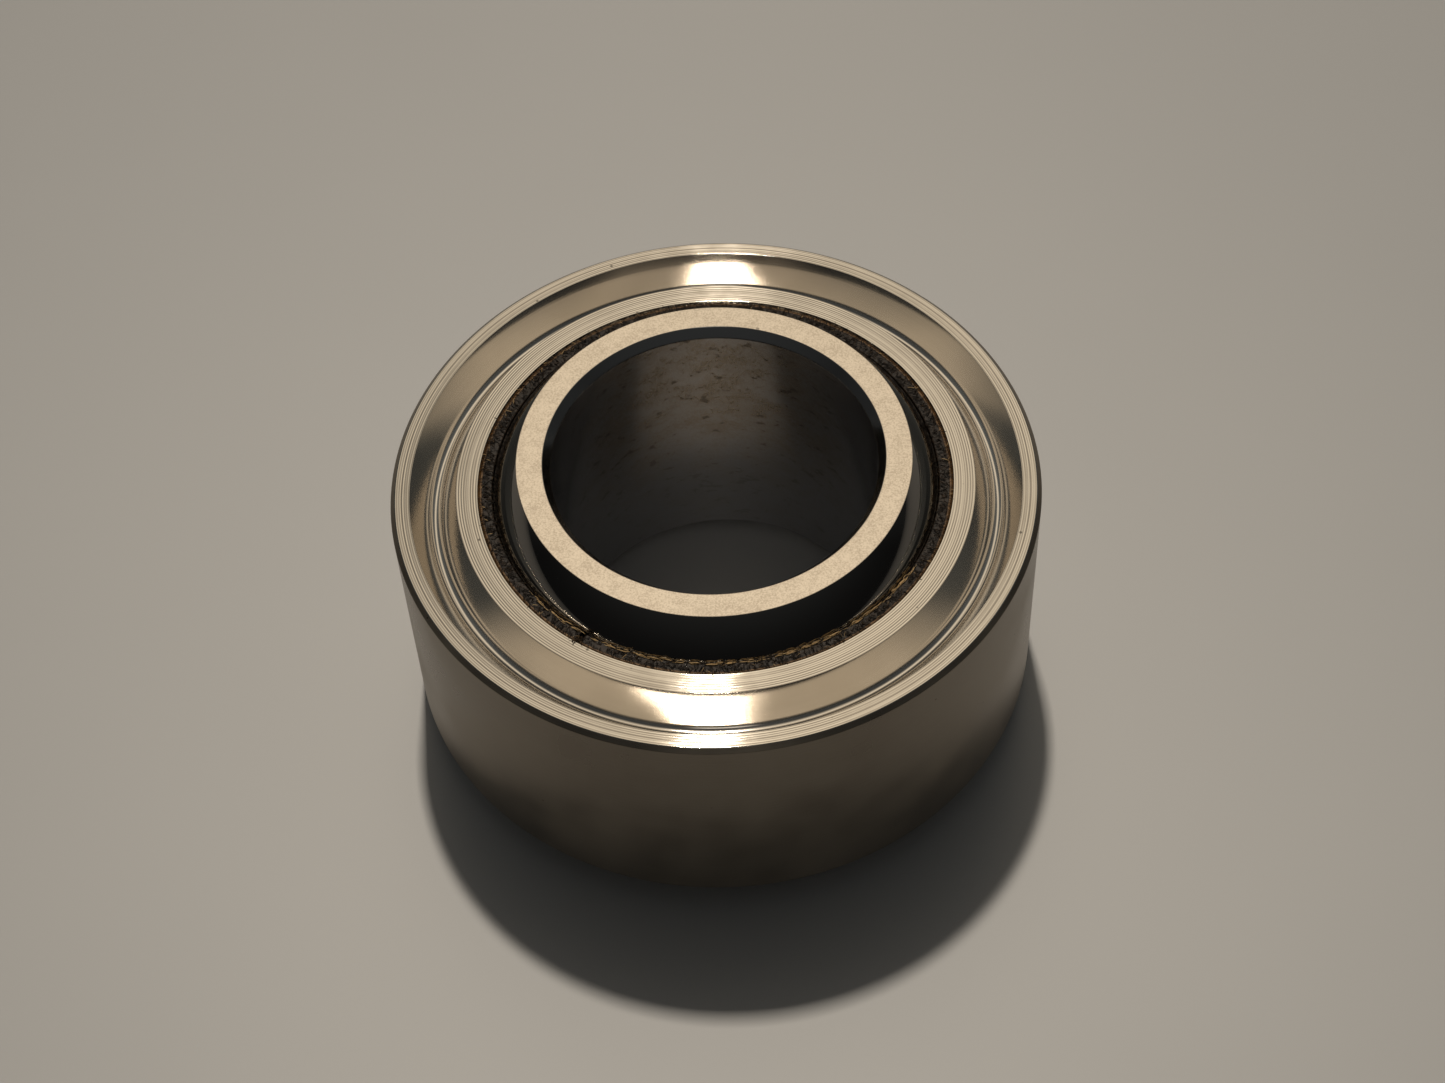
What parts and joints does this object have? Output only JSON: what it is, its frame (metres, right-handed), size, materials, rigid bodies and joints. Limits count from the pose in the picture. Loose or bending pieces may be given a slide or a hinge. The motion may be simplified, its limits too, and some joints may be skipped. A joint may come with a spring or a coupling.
{
  "type": "grooved spherical plain bearing",
  "caption": "Spherical plain bearing insert for a rod end: a bored ball tilts and spins in a fabric-lined steel race with a V staking groove in each face.",
  "frame": {"origin": "centre of the ball's sphere, which is also the middle of the race and of the bore", "axes": "+Z along the axis of the bore and the race; X and Y are alike, and the liner's butt joint is at 236 degrees from +X towards +Y"},
  "size_m": [0.0254, 0.0254, 0.0126],
  "materials": {
    "race_steel": "turned, satin, faintly straw coloured",
    "ball_steel": "sphere and bore polished, end faces fine matt",
    "liner_fabric": "dark brown resin-filled weave with frayed edges",
    "bond_resin": "cured amber resin",
    "ptfe_film": "waxy, smeared"
  },
  "bodies": {
    "race": {"outer_race": "race_steel", "liner_bond": "bond_resin", "liner": "liner_fabric"},
    "running_film": {"running_film": "ptfe_film"},
    "transfer_film": {"transfer_film": "ptfe_film"},
    "ball": {"ball": "ball_steel"}
  },
  "joints": [
    {"name": "ball_tilt_x", "type": "hinge", "parent": "race", "child": "running_film", "pos_m": [0, 0, 0], "axis": [1, 0, 0], "range_deg": [-8, 8]},
    {"name": "ball_tilt_y", "type": "hinge", "parent": "running_film", "child": "transfer_film", "pos_m": [0, 0, 0], "axis": [0, 1, 0], "range_deg": [-8, 8]},
    {"name": "ball_spin", "type": "hinge", "parent": "transfer_film", "child": "ball", "pos_m": [0, 0, 0], "axis": [0, 0, 1], "continuous": true}
  ]
}
